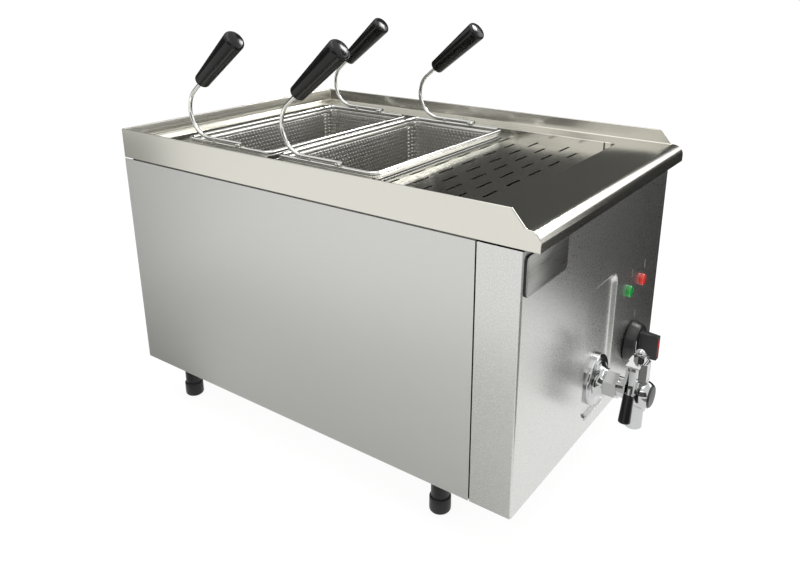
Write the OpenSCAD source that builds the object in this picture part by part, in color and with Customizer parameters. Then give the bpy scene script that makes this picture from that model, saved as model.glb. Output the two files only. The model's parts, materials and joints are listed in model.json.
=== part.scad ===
// Table-top electric pasta cooker: a pressed worktop over a heated water tank, two lift-out
// perforated baskets with upright handles, a lift-out drain plate and a drain tap on the front.
// Millimetres, +Z up, front towards -Y, origin on the floor under the middle of the machine.

/* [Cabinet] */
// Width over the worktop and the side panels
cabinet_w = 400; // [380:1:460]
// Depth of the deck in front of the well
front_deck_d = 74; // [68:1:140]
// Height from the lower edge of the panels to the top of the upstand
body_h = 325; // [318:1:400]
// Sheet thickness of the panels
sheet_t = 1.2; // [0.8:0.1:1.5]
// Shadow gap between neighbouring sheets
seam = 1.5; // [0.8:0.1:2]
// Distance of the fascia behind the nose of the worktop
fascia_setback = 16; // [12:1:20]
// Width of the fascia's return along each side
fascia_wrap = 48; // [30:1:60]
// Outside radius of the fascia's bent corners
bend_out_r = 2.4; // [2:0.1:4]
// Distance of the rear panel inside the rear edge of the side panels
rear_inset = 14; // [13:1:18]
// Width of the folds that the fascia and the rear panel are fixed to
fold_w = 20; // [14:1:26]
// Width of the bottom folds that carry the feet
foot_fold_w = 50; // [44:1:60]
// Number of ventilation slots in the rear panel
vent_n = 8; // [4:1:10]
// Length of a ventilation slot
vent_l = 40; // [20:1:60]
// Width of a ventilation slot
vent_w = 5; // [3:0.5:6]
// Distance between ventilation slots
vent_pitch = 14; // [10:1:16]

/* [Worktop] */
// Sheet thickness of the worktop
top_t = 1.5; // [1:0.1:2]
// Thickness of the hemmed upstand
hem_t = 2.4; // [2:0.1:3.5]
// Height of the upstand above the deck
upstand_h = 17; // [12:1:22]
// Height of the apron from its lower edge to the top of the upstand
apron_h = 37; // [34:1:44]
// Radius of the rolled nose
nose_r = 12; // [6:1:14]
// Length over which each side upstand slopes down to the nose
slope_l = 15; // [8:1:24]
// Distance from the roll of the nose to the foot of that slope
slope_gap = 3; // [1:1:8]

/* [Tank] */
// Width of the opening in the worktop
well_w = 320; // [316:1:330]
// Length of the opening, front to rear
well_d = 490; // [480:1:560]
// Distance of the opening from the rear edge
well_rear = 28; // [24:1:32]
// Corner radius of the opening
well_r = 8; // [4:1:12]
// Drop from the deck to the ledge round the opening
ledge_drop = 10; // [8:1:14]
// Width of the ledge
ledge_w = 14; // [12:1:16]
// Depth of the tank under the ledge
tank_h = 188; // [184:1:200]
// Sheet thickness of the tank
tank_t = 1.5; // [1:0.1:2]
// Corner radius of the tank walls
tank_r = 20; // [12:1:26]

/* [False bottom] */
// Sheet thickness of the false bottom
rack_t = 1.5; // [1:0.1:2]
// Gap between the false bottom and the tank walls
rack_gap = 4; // [2:0.5:6]
// Diameter of its holes
rack_hole_d = 14; // [8:1:18]
// Distance between its holes
rack_pitch = 38; // [30:1:50]

/* [Baskets] */
// Length of a basket over its rim, across the machine
basket_l = 286; // [260:1:287]
// Width of a basket over its rim, front to rear
basket_w = 149; // [130:1:150]
// Depth of a basket's underside below the deck
basket_h = 155; // [140:1:158]
// Height of the rim wire's middle above the deck
rim_rise = 1.6; // [0:0.2:3]
// Distance of the rear basket from the rear edge of the worktop
basket_rear = 54; // [50:1:56]
// Gap between the two baskets
basket_gap = 13; // [10:1:20]
// Diameter of the rim wire
rim_d = 5; // [4:0.5:6]
// Corner radius of the rim at the middle of its wire
rim_r = 8; // [6:1:20]
// Sheet thickness of the basket walls
wall_t = 1; // [0.8:0.1:1.5]
// Height of the plain band under the rim
band_h = 6.5; // [5:0.5:20]
// Diameter of the perforations
hole_d = 9; // [6:0.5:10]
// Distance between perforations
hole_pitch = 16; // [14:1:20]

/* [Handles] */
// Diameter of the handle rod
rod_d = 5; // [4:0.5:6]
// Length of the handle's foot in front of the basket's middle
foot_front_l = 28.5; // [24:0.5:40]
// Length of the handle's foot behind the basket's middle
foot_back_l = 31; // [24:1:34]
// Radius of the bend, at the middle of the rod
rod_bend_r = 33; // [24:1:34]
// Slope of the grip above the horizontal
grip_angle = 39.5; // [35:0.5:50]
// Straight length between the bend and the grip
neck_l = 19.5; // [10:0.5:30]
// Length of the grip
grip_l = 87; // [80:0.5:110]
// Diameter of the grip at its lower end
grip_d1 = 20; // [16:0.1:24]
// Diameter of the grip at its upper end
grip_d2 = 26.6; // [22:0.1:30]
// Rounding of the grip's lower edge
grip_edge1 = 3; // [1:0.5:5]
// Rounding of the grip's upper edge
grip_edge2 = 4; // [1:0.5:6]
// Length of rod held inside the grip
tang_l = 45; // [20:1:70]
// Diameter of the weld nubs under the foot
nub_d = 4; // [3:0.5:5]
// Distance of the weld nubs from the basket's middle
nub_offset = 22; // [10:1:26]

/* [Drain plate] */
// Sheet thickness of the drain plate
plate_t = 1.2; // [0.8:0.1:1.5]
// Gap between the plate and the edge of the opening
plate_gap = 1.5; // [1:0.1:3]
// Gap between the plate and the front basket's rim
plate_basket_gap = 2; // [1:0.5:10]
// Length of the upturned lip on each side
lip_l = 128; // [80:1:140]
// Distance from the front edge of the plate to the lip
lip_front = 14; // [6:1:20]
// Length of a drain slot
slot_l = 30; // [15:1:36]
// Width of a drain slot
slot_w = 3.5; // [2:0.1:5]
// Distance between slots in a row
slot_pitch = 50.5; // [46:0.5:60]
// Distance between rows
row_pitch = 22; // [16:1:26]
// Number of rows
row_n = 6; // [2:1:6]
// Distance from the front edge of the plate to the first row
row_front = 32; // [16:1:40]

/* [Front panel fittings] */
// Width of the blank badge plate
badge_w = 88; // [60:1:100]
// Height of the blank badge plate
badge_h = 41; // [20:1:50]
// Thickness of the badge plate
badge_t = 2.5; // [1:0.1:4]
// Corner radius of the badge plate
badge_r = 6; // [2:0.5:10]
// Distance of the badge plate from the left edge of the fascia
badge_side = 3; // [2:0.5:20]
// Distance of the badge plate below the lower edge of the apron
badge_gap = 6.5; // [3:0.5:40]
// Width of the recess behind the tap
recess_w = 84; // [80:1:94]
// Height of the recess
recess_h = 169; // [140:1:180]
// Corner radius of the recess
recess_r = 20; // [8:1:30]
// Sideways place of the recess's middle
recess_x = 7; // [0:1:8]
// Height of the recess's lower edge above the lower edge of the panels
recess_rise = 18; // [15:1:24]
// Depth of the recess behind the face of the fascia
recess_depth = 6.5; // [5:0.5:10]
// Width of the recess pan's flange behind the fascia
recess_lap = 8; // [4:1:10]
// Distance of the knob and of the lamps' middle from the right side
control_side = 87; // [74:1:96]
// Height of the knob above the lower edge of the panels
control_rise = 66; // [60:1:70]
// Height of the tap above the lower edge of the panels
tap_rise = 60; // [56:1:64]
// Height of the lamps above the lower edge of the panels
lamp_rise = 143.5; // [120:0.5:180]
// Distance between the lamps
lamp_pitch = 46; // [30:1:60]
// Diameter of a lamp lens
lens_d = 15; // [12:0.5:18]
// Height of a lamp lens in front of the fascia
lens_h = 7.5; // [5:0.5:9]
// Rounding of a lens's edge
lens_edge = 2; // [1:0.5:3]
// Diameter of a lamp's body
lamp_d = 12; // [9:0.5:12]
// Length of a lamp's body behind its lens
lamp_l = 26; // [15:1:35]

/* [Knob] */
// Diameter of the knob's skirt
skirt_d = 53; // [48:1:60]
// Height of the knob's skirt
skirt_h = 14; // [10:1:16]
// Running gap between the skirt and the fascia
skirt_gap = 1; // [0.5:0.1:2]
// Length of the knob's bar across the skirt
bar_l = 36; // [30:1:44]
// Width of the knob's bar
bar_w = 13; // [12:1:18]
// Height of the bar's end in front of the fascia
bar_out = 38; // [30:1:46]
// Taper of the bar on each face, from skirt to end
bar_taper = 2; // [0:0.5:3]
// Width of the coloured insert in the bar's end
insert_w = 4; // [2:0.5:6]
// Depth of the coloured insert
insert_t = 2; // [1:0.5:3]
// Diameter of the control shaft
shaft_d = 6; // [5:0.5:7]

/* [Tap] */
// Reach of the tap in front of the fascia
tap_reach = 67; // [66:0.5:68]
// Diameter of the rosette
rosette_d = 63; // [58:1:68]
// Thickness of the rosette's rim
rosette_rim = 3; // [2:0.5:5]
// Height of the rosette's dome in front of the fascia
rosette_h = 13; // [11:0.5:14]
// Diameter of the drain pipe
pipe_d = 22; // [18:1:24]
// Bore of the pipe, the tap and the spout
pipe_bore = 14; // [10:1:15]
// Width across corners of the tap's hexagon
tap_hex_d = 33; // [30:1:34]
// Distance from the fascia to the front end of the hexagon
tap_hex_end = 28; // [26:1:30]
// Diameter of the tap's neck
tap_neck_d = 24; // [24:1:26]
// Distance from the fascia to the tap's spindle
valve_out = 48.6; // [48:0.2:49.6]
// Radius of the round front of the tap
tap_ball_r = 17; // [15:0.5:18]
// Distance from the fascia to the middle of the round front
tap_ball_out = 55.3; // [54:0.1:56]
// Thickness of the cap on the round front
end_cap_t = 2; // [1.5:0.5:3]
// Radius of the valve ball
valve_ball_r = 11; // [10:0.5:11.5]
// Diameter of the bonnet
bonnet_d = 25; // [24:1:27]
// Height of the bonnet above the tap's axis
bonnet_h = 19; // [18:1:22]
// Width across corners of the gland nut
gland_nut_d = 26; // [22:1:28]
// Height of the gland nut
gland_nut_h = 22; // [16:1:24]
// Diameter of the spindle
spindle_d = 8; // [6:0.5:9]
// Outer diameter of the spout
spout_d = 20; // [19:0.5:24]
// Depth of the spout's mouth below the tap's axis
spout_drop = 44; // [40:1:48]
// Depth of the boss that the spout is screwed into
boss_drop = 20; // [18:1:24]
// Gap between the gland nut and the lever
lever_gap = 1; // [0.5:0.5:3]
// Sheet thickness of the lever
lever_t = 2; // [1.5:0.5:2.5]
// Width of the lever
lever_w = 15; // [14:1:17]
// Reach of the lever's plate from the spindle
lever_reach = 25.5; // [25:0.5:28]
// Length of the lever's plate behind the spindle
lever_tail = 9; // [8:1:12]
// Depth of the lever's cheeks
cheek_h = 32; // [24:1:32]
// Width of the lever's cheeks
cheek_w = 9; // [8:1:10]
// Outward lean of the lever's arm
arm_lean = 12; // [11:1:14]
// Diameter of the lever's arm
arm_d = 7; // [6:0.5:8]
// Length of the lever's arm
arm_l = 62; // [58:1:64]
// Distance along the arm to the sleeve
sleeve_start = 33; // [33:0.5:34]
// Length of the sleeve
sleeve_l = 33; // [30:1:34]
// Diameter of the sleeve at its upper end
sleeve_d1 = 12; // [11:0.5:12.5]
// Diameter of the sleeve at its lower end
sleeve_d2 = 14; // [12.5:0.5:14]
// Rounding of the sleeve's free end
sleeve_edge = 2; // [1:0.5:3]
// Width across corners of the cap nut
cap_nut_d = 14; // [12:0.5:16]
// Height of the cap nut's hexagon
cap_nut_h = 5; // [4:0.5:6]

/* [Feet] */
// Height of the feet under the panels
foot_h = 53.5; // [52:0.5:80]
// Distance of the feet from the sides
foot_side = 27; // [22:1:32]
// Distance of the front feet from the nose
foot_nose = 117; // [90:1:150]
// Distance of the rear feet from the rear edge
foot_rear = 57; // [46:1:80]
// Diameter of the fixed leg
leg_d = 21; // [18:0.5:22]
// Diameter of the adjustable cup
cup_d = 24.5; // [24:0.5:28]
// Height of the adjustable cup
cup_h = 20; // [18:1:30]
// Thickness of the cup's floor
cup_floor = 12; // [10:1:14]
// Rounding of the cup's lower edge
cup_edge = 4; // [2:0.5:5]
// Chamfer round the cup's rim
cup_chamfer = 1; // [0.5:0.5:1]
// Diameter of the adjusting screw
screw_d = 8; // [6:1:10]
// Length of the adjusting screw
screw_l = 30; // [20:1:36]

/* [Heating and controls] */
// Diameter of the tubular heating elements
element_d = 8.5; // [6.5:0.5:10]
// Number of heating elements
element_n = 3; // [1:1:3]
// Distance between heating elements
element_pitch = 90; // [70:1:95]
// Bend radius of a heating element
element_bend_r = 20; // [14:1:24]
// Height of the elements above the tank floor
element_rise = 14; // [10:1:18]
// Distance of the elements' rear bend from the tank's rear wall
element_rear = 40; // [20:1:80]
// Length of an element's cold end in front of the tank
element_end_l = 30; // [24:1:36]
// Width across corners of the element nuts
element_nut_d = 20; // [16:1:24]
// Thickness of the element nuts
element_nut_h = 8; // [6:1:10]
// Distance of the drain from the tank's front wall
drain_in = 46; // [44:1:60]
// Bend radius of the drain pipe
drain_bend_r = 26; // [22:1:26]
// Width of the flange on the drain pipe
drain_flange_d = 40; // [34:1:50]
// Size of the thermostat's body
thermostat_s = 42; // [34:1:46]
// Depth of the thermostat's body
thermostat_h = 30; // [24:1:34]
// Diameter of the thermostat's bulb
bulb_d = 6.5; // [5:0.5:8]
// Length of the bulb inside the tank
bulb_l = 90; // [60:1:120]
// Sideways place of the bulb
bulb_x = 58; // [52:1:62]
// Height of the bulb above the tank floor
bulb_rise = 27; // [26:1:28]
// Diameter of the capillary tube
capillary_d = 2.5; // [2:0.5:3]
// Diameter of the safety cut-out
cutout_d = 28; // [20:1:34]
// Depth of the safety cut-out
cutout_h = 16; // [12:1:24]
// Height of the safety cut-out above the tank floor
cutout_rise = 60; // [50:1:80]
// Width of the terminal block
terminal_w = 62; // [40:1:80]
// Depth of the terminal block
terminal_d = 24; // [18:1:30]
// Height of the terminal block
terminal_h = 22; // [16:1:30]
// Number of its clamping places
terminal_ways = 5; // [3:1:5]
// Distance of the supply inlet from the left side
inlet_side = 80; // [60:1:140]
// Height of the supply inlet above the lower edge of the panels
inlet_rise = 45; // [36:1:70]
// Diameter of the cable gland's thread
gland_d = 20; // [16:1:25]
// Bore of the cable gland
gland_bore = 11; // [8:0.5:12]
// Height of the cable gland outside the rear panel
gland_out = 12; // [8:1:12]

/* [Hidden] */
$fn = 64;

// Clearances
slip = 0.05;
seat = 0.3;
part_gap = 1;
over = 1;

// Extra diameter of a collar, size of the gland's nuts to its thread, points along an arc
collar = 4;
nut_share = 1.3;
edge_steps = 6;
roll_steps = 12;

// Overall places
top_d = well_rear + well_d + front_deck_d;
reach_y = top_d - fascia_setback + tap_reach;
rear_y = reach_y / 2;
nose_y = rear_y - top_d;
fascia_y = nose_y + fascia_setback;
half_w = cabinet_w / 2;
control_x = half_w - control_side;
inlet_x = inlet_side - half_w;
top_z = foot_h + body_h;
deck_z = top_z - upstand_h;
deck_under_z = deck_z - top_t;
apron_z = top_z - apron_h;
panel_top_z = apron_z - seam;
inner_x = half_w - sheet_t;
joggle_x = half_w - hem_t - seam;
wrap_end_y = fascia_y + fascia_wrap;
rear_face_y = rear_y - rear_inset;
rear_fold_y = rear_face_y - 2 * sheet_t;
base_z = foot_h + sheet_t;

// Tank places
well_rear_y = rear_y - well_rear;
well_mid_y = well_rear_y - well_d / 2;
well_front_y = well_rear_y - well_d;
ledge_z = deck_z - ledge_drop;
tank_w = well_w - 2 * ledge_w;
tank_d = well_d - 2 * ledge_w;
floor_z = ledge_z - tank_h;
tank_front_y = well_front_y + ledge_w - tank_t;
tank_rear_y = well_rear_y - ledge_w;

// Basket places
basket_under_z = deck_z - basket_h;
rim_z = deck_z + rim_rise;
rear_basket_y = rear_y - basket_rear - basket_w / 2;
front_basket_y = rear_basket_y - basket_w - basket_gap;
wall_l = basket_l - rim_d + wall_t;
wall_w = basket_w - rim_d + wall_t;
wall_r = rim_r + wall_t / 2;
wall_top_z = rim_z - rim_d / 2 - slip;
handle_x = (basket_l - rim_d) / 2;
foot_z = rim_z + (rim_d + rod_d) / 2 + slip;
rack_top_z = basket_under_z - seat;

// Drain plate places
plate_z = ledge_z + seat;
plate_rear_y = front_basket_y - basket_w / 2 - plate_basket_gap;
plate_front_y = well_front_y + plate_gap;
plate_half_w = well_w / 2 - plate_gap;

// Fascia and tap places
control_z = foot_h + control_rise;
tap_z = foot_h + tap_rise;
tap_x = recess_x;
recess_z = foot_h + recess_rise + recess_h / 2;
valve_y = fascia_y - valve_out;
lever_z = tap_z + bonnet_h + gland_nut_h + lever_gap;
drain_y = tank_front_y + tank_t + drain_in;
floor_under_z = floor_z - tank_t;
spindle_l = lever_z + lever_t + cap_nut_h - tap_z;
arm_r = lever_reach - cheek_w / 2 - lever_t / 4;
tongue_w = spindle_d / 2;
tongue_h = 4;
ball_flat = valve_ball_r - tongue_h;
socket_l = 8;
skirt_edge = 3;

// Foot places, front left first
foot_x = half_w - foot_side;
foot_front_y = nose_y + foot_nose;
foot_rear_y = rear_y - foot_rear;
foot_places = [
  [-foot_x, foot_front_y], [foot_x, foot_front_y], [-foot_x, foot_rear_y], [foot_x, foot_rear_y]
];

// Fasteners
screw_hole_d = 4.1;
screw_shank_d = 4;
screw_head_d = 8;
screw_head_h = 2.6;
screw_shank_l = 6;
screw_margin = 40;
screw_rows = [foot_h + screw_margin, foot_h + body_h / 2, panel_top_z - screw_margin];
screw_x = inner_x - fold_w / 2;

steel = "silver";
bright = "whitesmoke";
black = "#1c1c1c";

// Flat rectangle with rounded corners, centred
module rounded_rect(w, d, r) {
  square([w - 2 * r, d], center = true);
  square([w, d - 2 * r], center = true);
  for (x = [-1, 1], y = [-1, 1])
    translate([x * (w / 2 - r), y * (d / 2 - r)]) circle(r);
}

// Flat slot with round ends, along X, centred
module slot2d(l, w) {
  square([l - w, w], center = true);
  for (x = [-1, 1]) translate([x * (l - w) / 2, 0]) circle(d = w);
}

// Box between two corners
module block(a, b) {
  translate(a) cube(b - a);
}

// Frame on the fascia: X to the right, Y up, Z out of the panel
module on_fascia(x, z) {
  translate([x, fascia_y, z]) rotate([90, 0, 0]) children();
}

// Points of an arc about a centre
function arc_points(c, r, a0, a1, n) =
  [for (i = [0 : n]) c + r * [cos(a0 + (a1 - a0) * i / n), sin(a0 + (a1 - a0) * i / n)]];

// Side view of the worktop's end: rear edge, sloping upstand, rolled nose
module apron_outline() {
  roll = arc_points([nose_y + nose_r, deck_z - nose_r], nose_r, 90, 180, roll_steps);
  polygon(concat(
    [[rear_y, apron_z], [rear_y, top_z], [nose_y + nose_r + slope_gap + slope_l, top_z],
     [nose_y + nose_r + slope_gap, deck_z]],
    roll,
    [[nose_y, apron_z]]
  ));
}

// Section of the deck sheet from the rear, over the nose and under it
module deck_outline() {
  outer = arc_points([nose_y + nose_r, deck_z - nose_r], nose_r, 90, 180, roll_steps);
  inner = arc_points([nose_y + nose_r, deck_z - nose_r], nose_r - top_t, 180, 90, roll_steps);
  lap = nose_y + fascia_setback - seam;
  polygon(concat(
    [[rear_y, deck_z]], outer,
    [[nose_y, apron_z], [lap, apron_z], [lap, apron_z + top_t], [nose_y + top_t, apron_z + top_t]],
    inner, [[rear_y, deck_under_z]]
  ));
}

// Extrudes an outline drawn in depth and height across the width, centred at x
module across(x, w) {
  translate([x - w / 2, 0, 0]) rotate([90, 0, 90]) linear_extrude(w) children();
}

module worktop() {
  color(steel) difference() {
    union() {
      across(0, cabinet_w) deck_outline();
      for (s = [-1, 1]) across(s * (half_w - hem_t / 2), hem_t) apron_outline();
      block([-half_w, rear_y - hem_t, apron_z], [half_w, rear_y, top_z]);
      translate([0, well_mid_y, ledge_z]) linear_extrude(deck_under_z - ledge_z + top_t / 2)
        rounded_rect(well_w + 2 * top_t, well_d + 2 * top_t, well_r + top_t);
    }
    translate([0, well_mid_y, ledge_z - over]) linear_extrude(ledge_drop + 2 * over)
      rounded_rect(well_w, well_d, well_r);
  }
}

// Sideways places of an element's two legs
function element_x(i) = (i - (element_n - 1) / 2) * element_pitch;

module tank() {
  color(steel) difference() {
    union() {
      translate([0, well_mid_y, ledge_z - tank_t]) linear_extrude(tank_t)
        rounded_rect(well_w + 2 * top_t, well_d + 2 * top_t, well_r + top_t);
      translate([0, well_mid_y, floor_under_z]) linear_extrude(tank_h + tank_t)
        rounded_rect(tank_w + 2 * tank_t, tank_d + 2 * tank_t, tank_r + tank_t);
    }
    translate([0, well_mid_y, floor_z]) linear_extrude(tank_h + over)
      rounded_rect(tank_w, tank_d, tank_r);
    translate([tap_x, drain_y, floor_under_z - over]) cylinder(d = pipe_bore, h = tank_t + 2 * over);
    for (i = [0 : element_n - 1], s = [-1, 1])
      translate([element_x(i) + s * element_bend_r, tank_front_y - over, floor_z + element_rise])
        rotate([-90, 0, 0]) cylinder(d = element_d + 2 * slip, h = tank_t + 2 * over);
    translate([bulb_x, tank_front_y - over, floor_z + bulb_rise])
      rotate([-90, 0, 0]) cylinder(d = bulb_d + 2 * slip, h = tank_t + 2 * over);
  }
}

module false_bottom() {
  w = tank_w - 2 * rack_gap;
  d = tank_d - 2 * rack_gap;
  nx = floor((w / 2 - tank_r) / rack_pitch);
  ny = floor((d / 2 - tank_r) / rack_pitch);
  color(bright) {
    difference() {
      translate([0, well_mid_y, rack_top_z - rack_t]) linear_extrude(rack_t) difference() {
        rounded_rect(w, d, tank_r - rack_gap / 2);
        for (i = [-nx : nx], j = [-ny : ny])
          translate([i * rack_pitch, j * rack_pitch]) circle(d = rack_hole_d);
      }
    }
    for (s = [-1, 1])
      translate([s * (w - rack_t) / 2, well_mid_y, floor_z])
        linear_extrude(rack_top_z - floor_z) square([rack_t, d - 2 * tank_r], center = true);
  }
}

// Side panel: flat skin, fold under the base, fold behind, joggled flange up inside the apron
module side_panel(s) {
  y0 = wrap_end_y + seam;
  flange_end_y = rear_fold_y - seam;
  color(steel) difference() {
    scale([s, 1, 1]) union() {
      block([inner_x, y0, foot_h], [half_w, rear_y, panel_top_z]);
      block([half_w - foot_fold_w, y0, foot_h], [half_w, flange_end_y, base_z]);
      block([inner_x - fold_w, rear_fold_y, base_z], [half_w, rear_fold_y + sheet_t, panel_top_z]);
      block([joggle_x - sheet_t, y0, panel_top_z - sheet_t], [half_w, flange_end_y, panel_top_z]);
      block([joggle_x - sheet_t, y0, panel_top_z - sheet_t], [joggle_x, flange_end_y, deck_under_z]);
    }
    for (p = foot_places)
      translate([p[0], p[1], foot_h - over]) cylinder(d = screw_d + 2 * slip, h = sheet_t + 2 * over);
    for (z = screw_rows)
      translate([s * screw_x, rear_fold_y - over, z])
        rotate([-90, 0, 0]) cylinder(d = screw_hole_d, h = sheet_t + 2 * over);
  }
}

module left_side_panel() side_panel(-1);
module right_side_panel() side_panel(1);

module rear_panel() {
  x = inner_x - seam / 2;
  color(steel) difference() {
    block([-x, rear_face_y - sheet_t, foot_h], [x, rear_face_y, apron_z]);
    for (s = [-1, 1], z = screw_rows)
      translate([s * screw_x, rear_face_y - sheet_t - over, z])
        rotate([-90, 0, 0]) cylinder(d = screw_hole_d, h = sheet_t + 2 * over);
    translate([inlet_x, rear_face_y - sheet_t - over, foot_h + inlet_rise])
      rotate([-90, 0, 0]) cylinder(d = gland_d + 2 * slip, h = sheet_t + 2 * over);
    for (i = [0 : vent_n - 1])
      translate([(i - (vent_n - 1) / 2) * vent_pitch - inlet_x / 2, rear_face_y + over, control_z])
        rotate([90, 90, 0]) linear_extrude(sheet_t + 2 * over) slot2d(vent_l, vent_w);
  }
}

module front_fascia() {
  d = 2 * fascia_wrap;
  lip_x = joggle_x - seam;
  color(steel) difference() {
    union() {
      translate([0, wrap_end_y, foot_h]) linear_extrude(panel_top_z - foot_h) difference() {
        rounded_rect(cabinet_w, d, bend_out_r);
        rounded_rect(2 * inner_x, d - 2 * sheet_t, bend_out_r - sheet_t);
        translate([-half_w - over, 0]) square([cabinet_w + 2 * over, d]);
      }
      block([-lip_x, fascia_y, panel_top_z - over], [lip_x, fascia_y + sheet_t, deck_under_z]);
      block([seam - inner_x, fascia_y + sheet_t / 2, foot_h],
            [inner_x - seam, fascia_y + fold_w, base_z]);
    }
    on_fascia(recess_x, recess_z) translate([0, 0, -sheet_t - over]) linear_extrude(sheet_t + 2 * over)
      rounded_rect(recess_w, recess_h, recess_r);
    for (s = [-1, 1])
      on_fascia(control_x + s * lamp_pitch / 2, foot_h + lamp_rise)
        translate([0, 0, -sheet_t - over]) cylinder(d = lamp_d + 2 * slip, h = sheet_t + 2 * over);
    on_fascia(control_x, control_z) translate([0, 0, -sheet_t - over])
      cylinder(d = shaft_d + part_gap, h = sheet_t + 2 * over);
  }
}

module base_plate() {
  x = inner_x - part_gap;
  color(steel) difference() {
    block([-x, fascia_y + sheet_t + part_gap, base_z], [x, rear_fold_y - part_gap, base_z + sheet_t]);
    for (p = foot_places)
      translate([p[0], p[1], base_z - over]) cylinder(d = screw_d + 2 * slip, h = sheet_t + 2 * over);
  }
}

// Shallow pan behind the fascia's cut-out: flange, walls and back
module recess_pan() {
  back = recess_depth + sheet_t;
  color(steel) on_fascia(recess_x, recess_z) difference() {
    union() {
      translate([0, 0, -2 * sheet_t]) linear_extrude(sheet_t)
        rounded_rect(recess_w + 2 * recess_lap, recess_h + 2 * recess_lap, recess_r + recess_lap);
      translate([0, 0, -back]) linear_extrude(back - sheet_t)
        rounded_rect(recess_w + 2 * sheet_t, recess_h + 2 * sheet_t, recess_r + sheet_t);
    }
    translate([0, 0, -recess_depth]) linear_extrude(recess_depth)
      rounded_rect(recess_w, recess_h, recess_r);
    translate([0, tap_z - recess_z, -back - over]) cylinder(d = pipe_d + 2 * slip, h = back);
  }
}

module badge_plate() {
  color("gainsboro") on_fascia(badge_side + badge_w / 2 - half_w, apron_z - badge_gap - badge_h / 2)
    linear_extrude(badge_t) rounded_rect(badge_w, badge_h, badge_r);
}

// Rows of round holes on a flat wall of the given length, cut through the basket along Y
module perforation(l, through) {
  low = wall_t + hole_pitch / 2 + hole_d / 4;
  rows = floor((wall_top_z - basket_under_z - band_h - low - hole_d / 2) / hole_pitch);
  cols = floor((l / 2 - wall_r - hole_d / 2) / hole_pitch);
  for (k = [0 : rows], i = [-cols : cols - k % 2])
    translate([(i + (k % 2) / 2) * hole_pitch, 0, low + k * hole_pitch])
      rotate([90, 0, 0]) cylinder(d = hole_d, h = through, center = true);
}

// Perforated wrap of a basket, open at the top, with a plain band under the rim
module basket_mesh(y) {
  h = wall_top_z - basket_under_z;
  color("gray") translate([0, y, basket_under_z]) difference() {
    linear_extrude(h) difference() {
      rounded_rect(wall_l, wall_w, wall_r);
      rounded_rect(wall_l - 2 * wall_t, wall_w - 2 * wall_t, wall_r - wall_t);
    }
    perforation(wall_l, wall_w + over);
    rotate([0, 0, 90]) perforation(wall_w, wall_l + over);
  }
}

module basket_base(y) {
  l = wall_l - 2 * wall_t - 2 * slip;
  w = wall_w - 2 * wall_t - 2 * slip;
  nx = floor((l / 2 - wall_r) / hole_pitch);
  ny = floor((w / 2 - wall_r) / hole_pitch);
  color("gray") translate([0, y, basket_under_z]) linear_extrude(wall_t) difference() {
    rounded_rect(l, w, wall_r - wall_t - slip);
    for (i = [-nx : nx], j = [-ny : ny])
      translate([i * hole_pitch, j * hole_pitch]) circle(d = hole_d);
  }
}

// Closed wire round the basket's mouth
module basket_rim(y) {
  l = basket_l - rim_d - 2 * rim_r;
  w = basket_w - rim_d - 2 * rim_r;
  color(bright) translate([0, y, rim_z]) {
    for (s = [-1, 1]) {
      translate([0, s * (w / 2 + rim_r), 0]) rotate([0, 90, 0]) cylinder(d = rim_d, h = l, center = true);
      translate([s * (l / 2 + rim_r), 0, 0]) rotate([90, 0, 0]) cylinder(d = rim_d, h = w, center = true);
    }
    for (q = [0 : 3])
      translate([(q == 0 || q == 3 ? 1 : -1) * l / 2, (q < 2 ? 1 : -1) * w / 2, 0])
        rotate([0, 0, 90 * q]) rotate_extrude(angle = 90) translate([rim_r, 0]) circle(d = rim_d);
  }
}

// Turn of the rod from its foot to the grip, and the end of that bend
rod_turn = 180 - grip_angle;
bend_end_y = foot_back_l + rod_bend_r * sin(rod_turn);
bend_end_z = rod_bend_r * (1 - cos(rod_turn));

// Frame along the handle's upper run: Z along the grip, from the end of the bend
module along_grip(s, y) {
  translate([s * handle_x, y + bend_end_y, foot_z + bend_end_z]) rotate([rod_turn - 90, 0, 0]) children();
}

// Bent rod welded on the rim: straight foot, one bend, straight neck and tang
module handle_rod(s, y) {
  color(bright) difference() {
    union() {
      translate([s * handle_x, y, foot_z]) {
        translate([0, -foot_front_l, 0]) rotate([-90, 0, 0])
          cylinder(d = rod_d, h = foot_front_l + foot_back_l);
        translate([0, foot_back_l, rod_bend_r]) rotate([0, 90, 0])
          rotate_extrude(angle = rod_turn) translate([rod_bend_r, 0]) circle(d = rod_d);
        for (k = [-1, 1])
          translate([0, k * nub_offset, -rod_d / 2 - rim_d / 4]) cylinder(d = nub_d, h = rod_d / 2);
      }
      along_grip(s, y) cylinder(d = rod_d, h = neck_l + tang_l);
      along_grip(s, y) sphere(d = rod_d + 2 * slip);
    }
    translate([s * handle_x, y, rim_z]) rotate([90, 0, 0])
      cylinder(d = rim_d + 2 * slip, h = basket_w, center = true);
  }
}

// Tapered grip with rounded ends and a blind bore for the rod
module grip(s, y) {
  profile = concat(
    [[0, 0]], arc_points([grip_d1 / 2 - grip_edge1, grip_edge1], grip_edge1, -90, 0, edge_steps),
    arc_points([grip_d2 / 2 - grip_edge2, grip_l - grip_edge2], grip_edge2, 0, 90, edge_steps), [[0, grip_l]]
  );
  color(black) along_grip(s, y) translate([0, 0, neck_l]) difference() {
    rotate_extrude() polygon(profile);
    translate([0, 0, -over]) cylinder(d = rod_d + 2 * slip, h = tang_l + over + part_gap);
  }
}

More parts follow.
